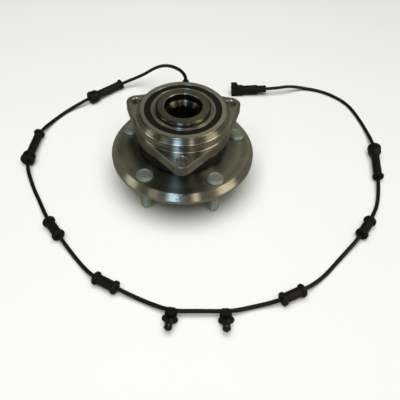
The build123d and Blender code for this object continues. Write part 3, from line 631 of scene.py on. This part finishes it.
class HUBUNIT_OT_mouldings(bpy.types.Operator):
    """Finish the rubber and plastic pieces"""

    bl_idname = "hub_unit.mouldings"
    bl_label = "Rubber and plastic"

    def execute(self, context):
        look = context.scene.hub_unit.finishes
        # Moulded rubber is near black and dull, with a fine grain from its mould.
        rubber = grained(
            "Nitrile rubber, moulded", look.rubber, look.rubber, 0.5, 0.5 * MM, 0.02 * MM, IOR=1.5
        )
        # Moulded nylon is a deeper black with a slightly sharper sheen.
        plastic = grained(
            "Nylon, moulded", look.plastic, look.plastic, 0.45, 0.4 * MM, 0.02 * MM, IOR=1.5
        )
        finish_nodes(
            rubber, "outboard_seal_lip", "inboard_seal_lip", "strain_relief", "sensor_o_ring", *SLEEVES
        )
        finish_nodes(
            plastic, "sensor_housing", "outboard_cage", "inboard_cage", "connector_boot",
            "connector_housing", *CLIPS,
        )
        return {"FINISHED"}


class HUBUNIT_OT_lead(bpy.types.Operator):
    """Lay the sensor lead"""

    bl_idname = "hub_unit.lead"
    bl_label = "Sensor lead"

    def execute(self, context):
        sizes = context.scene.hub_unit.sizes
        look = context.scene.hub_unit.finishes
        curve = bpy.data.curves.new("sensor_lead_jacket", "CURVE")
        curve.dimensions = "3D"
        curve.bevel_depth = sizes.lead_d / 2
        curve.bevel_resolution = 6
        curve.resolution_u = 16
        curve.use_fill_caps = True
        spline = curve.splines.new("NURBS")
        spline.points.add(len(LEAD_ROUTE) - 1)
        for point, place in zip(spline.points, LEAD_ROUTE):
            point.co = (*(Vector(place) * MM), 1.0)
        spline.order_u = 3
        spline.use_endpoint_u = True
        lead = bpy.data.objects.new("sensor_lead_jacket", curve)
        context.scene.collection.objects.link(lead)
        # An extruded jacket is smooth, so it is the glossiest of the black pieces.
        jacket = grained(
            "Lead jacket, extruded elastomer", look.jacket, look.jacket, 0.4, 0.8 * MM, 0.01 * MM,
            IOR=1.5,
        )
        curve.materials.append(jacket)
        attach(lead, "outer")
        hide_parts("sensor_lead")
        return {"FINISHED"}


# ---- Stage -----------------------------------------------------------------------------------


def soft_light(name, azimuth, height, distance, width, tall, power, colour, glossy=True, diffuse=True):
    """A rectangular light that faces the unit, placed by its bearing and height as seen from the unit."""
    data = bpy.data.lights.new(name, "AREA")
    data.shape = "RECTANGLE"
    data.size, data.size_y = width, tall
    data.energy = power
    data.color = linear(colour)[:3]
    light = bpy.data.objects.new(name, data)
    bpy.context.scene.collection.objects.link(light)
    turn, rise = radians(azimuth), radians(height)
    way = Vector((cos(turn) * cos(rise), sin(turn) * cos(rise), sin(rise)))
    light.location = way * distance
    light.rotation_euler = way.to_track_quat("Z", "Y").to_euler()
    light.visible_camera = False
    light.visible_glossy = glossy
    light.visible_diffuse = diffuse


def add_camera(scene, settings):
    """The camera, turned by its dip and its roll."""
    data = bpy.data.cameras.new("camera")
    data.lens = settings.lens
    data.sensor_width = 36
    data.clip_start, data.clip_end = 0.01, 20
    camera = bpy.data.objects.new("camera", data)
    scene.collection.objects.link(camera)
    dip = Matrix.Rotation(pi / 2 - settings.camera_dip, 4, "X")
    roll = Matrix.Rotation(settings.camera_roll, 4, "Z")
    camera.matrix_world = Matrix.Translation(settings.camera_place) @ dip @ roll
    scene.camera = camera


def add_world(scene):
    """A dim room, shaded by height from the floor to the ceiling, for the metal to reflect."""
    world = bpy.data.worlds.new("studio")
    world.use_nodes = True
    tree = world.node_tree
    tree.nodes.clear()
    way = add_node(tree, "ShaderNodeTexCoord").outputs["Generated"]
    rise = add_node(tree, "ShaderNodeSeparateXYZ", {"Vector": way}).outputs["Z"]
    ramp = add_node(tree, "ShaderNodeValToRGB", {"Fac": spread(tree, rise, -1.0, 1.0, 0.0, 1.0)})
    stops = (
        (0, "#777260"), (18, "#121211"), (36, "#121211"), (54, "#565442"), (72, "#101012"),
        (90, "#161828"),
    )
    for _ in stops[2:]:
        ramp.color_ramp.elements.new(0.5)
    for element, (angle, colour) in zip(ramp.color_ramp.elements, stops):
        element.position = 0.5 + 0.5 * sin(radians(angle))
        element.color = linear(colour)
    background = add_node(tree, "ShaderNodeBackground", {"Color": ramp.outputs["Color"]})
    add_node(tree, "ShaderNodeOutputWorld", {"Surface": background.outputs[0]})
    scene.world = world


def add_lights():
    """One broad light from above, and the panels that the bare metal reflects."""
    # The overhead light is for the floor and the matte pieces. The others stand 3 m off and show
    # only as reflections, which give the bare metal its form.
    soft_light("overhead", -90, 80, 1.6, 1.8, 1.8, 38, "#FFFFFF", glossy=False)
    day, lamp, tent = "#CFEFFF", "#FFF0C6", "#FFFCDA"
    for name, azimuth, height, width, tall, power, colour in (
        ("window", -99, 18, 0.66, 1.6, 6.8, day),
        ("window_head", -102, 54, 0.4, 1.4, 7.8, day),
        ("skylight", -119, 70, 0.3, 0.6, 1.4, day),
        ("strip", -68, 15, 0.3, 0.9, 2.2, lamp),
        ("strip_head", -60, 59, 0.3, 0.8, 2.5, lamp),
        ("lamp_right", -21, 8, 1.4, 3.2, 12.0, lamp),
        ("ceiling_right", -5, 53, 0.75, 1.5, 11.0, lamp),
        ("tent_right", -44, 8, 1.2, 0.7, 0.5, lamp),
        ("lamp_left", -165, 14, 0.9, 4.0, 7.0, tent),
        ("tent_left", -127, 8, 0.8, 0.6, 1.5, tent),
        ("ceiling_back", 73, 43, 2.6, 1.5, 4.4, tent),
    ):
        soft_light(name, azimuth, height, 3.0, width, tall, power, colour, diffuse=False)


def add_floor(scene, half):
    """A sheet of white paper under the unit. Reflections and the panels' light pass through it."""
    floor_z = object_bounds()[0].z
    corners = [(x, y, floor_z) for x, y in ((-half, -half), (half, -half), (half, half), (-half, half))]
    mesh = bpy.data.meshes.new("floor")
    mesh.from_pydata(corners, [], [(0, 1, 2, 3)])
    floor = bpy.data.objects.new("floor", mesh)
    scene.collection.objects.link(floor)
    paper, _, _ = new_material(
        "Studio paper, matte", **{"Base Color": linear("#F4F4F2"), "Roughness": 0.9}
    )
    mesh.materials.append(paper)
    floor.visible_glossy = False
    floor.visible_shadow = False
    floor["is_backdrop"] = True


class HUBUNIT_OT_stage(bpy.types.Operator):
    """Set up the floor, the soft lights and the camera"""

    bl_idname = "hub_unit.stage"
    bl_label = "Studio"

    def execute(self, context):
        scene = context.scene
        scene.view_settings.view_transform = "Standard"
        add_camera(scene, scene.hub_unit.stage)
        add_world(scene)
        add_lights()
        add_floor(scene, 4.0)
        return {"FINISHED"}


class HUBUNIT_PT_panel(bpy.types.Panel):
    """Buttons that build the unit's looks, piece by piece"""

    bl_idname = "HUBUNIT_PT_panel"
    bl_label = "Wheel hub bearing unit"
    bl_space_type = "VIEW_3D"
    bl_region_type = "UI"
    bl_category = "Hub unit"

    def draw(self, context):
        for operator in OPERATORS:
            self.layout.operator(operator.bl_idname)


OPERATORS = (
    HUBUNIT_OT_lead,
    HUBUNIT_OT_hub,
    HUBUNIT_OT_outer_ring,
    HUBUNIT_OT_bearing,
    HUBUNIT_OT_threads,
    HUBUNIT_OT_mouldings,
    HUBUNIT_OT_stage,
)
CLASSES = (
    HubUnitFinishes,
    HubUnitSizes,
    HubUnitStage,
    HubUnitSettings,
    *OPERATORS,
    HUBUNIT_PT_panel,
)


def register():
    for item in CLASSES:
        bpy.utils.register_class(item)
    bpy.types.Scene.hub_unit = PointerProperty(type=HubUnitSettings)


def unregister():
    del bpy.types.Scene.hub_unit
    for item in reversed(CLASSES):
        bpy.utils.unregister_class(item)


def main():
    register()
    bpy.ops.hub_unit.lead()
    bpy.ops.hub_unit.hub()
    bpy.ops.hub_unit.outer_ring()
    bpy.ops.hub_unit.bearing()
    bpy.ops.hub_unit.threads()
    bpy.ops.hub_unit.mouldings()
    bpy.ops.hub_unit.stage()


if __name__ == "__main__":
    main()
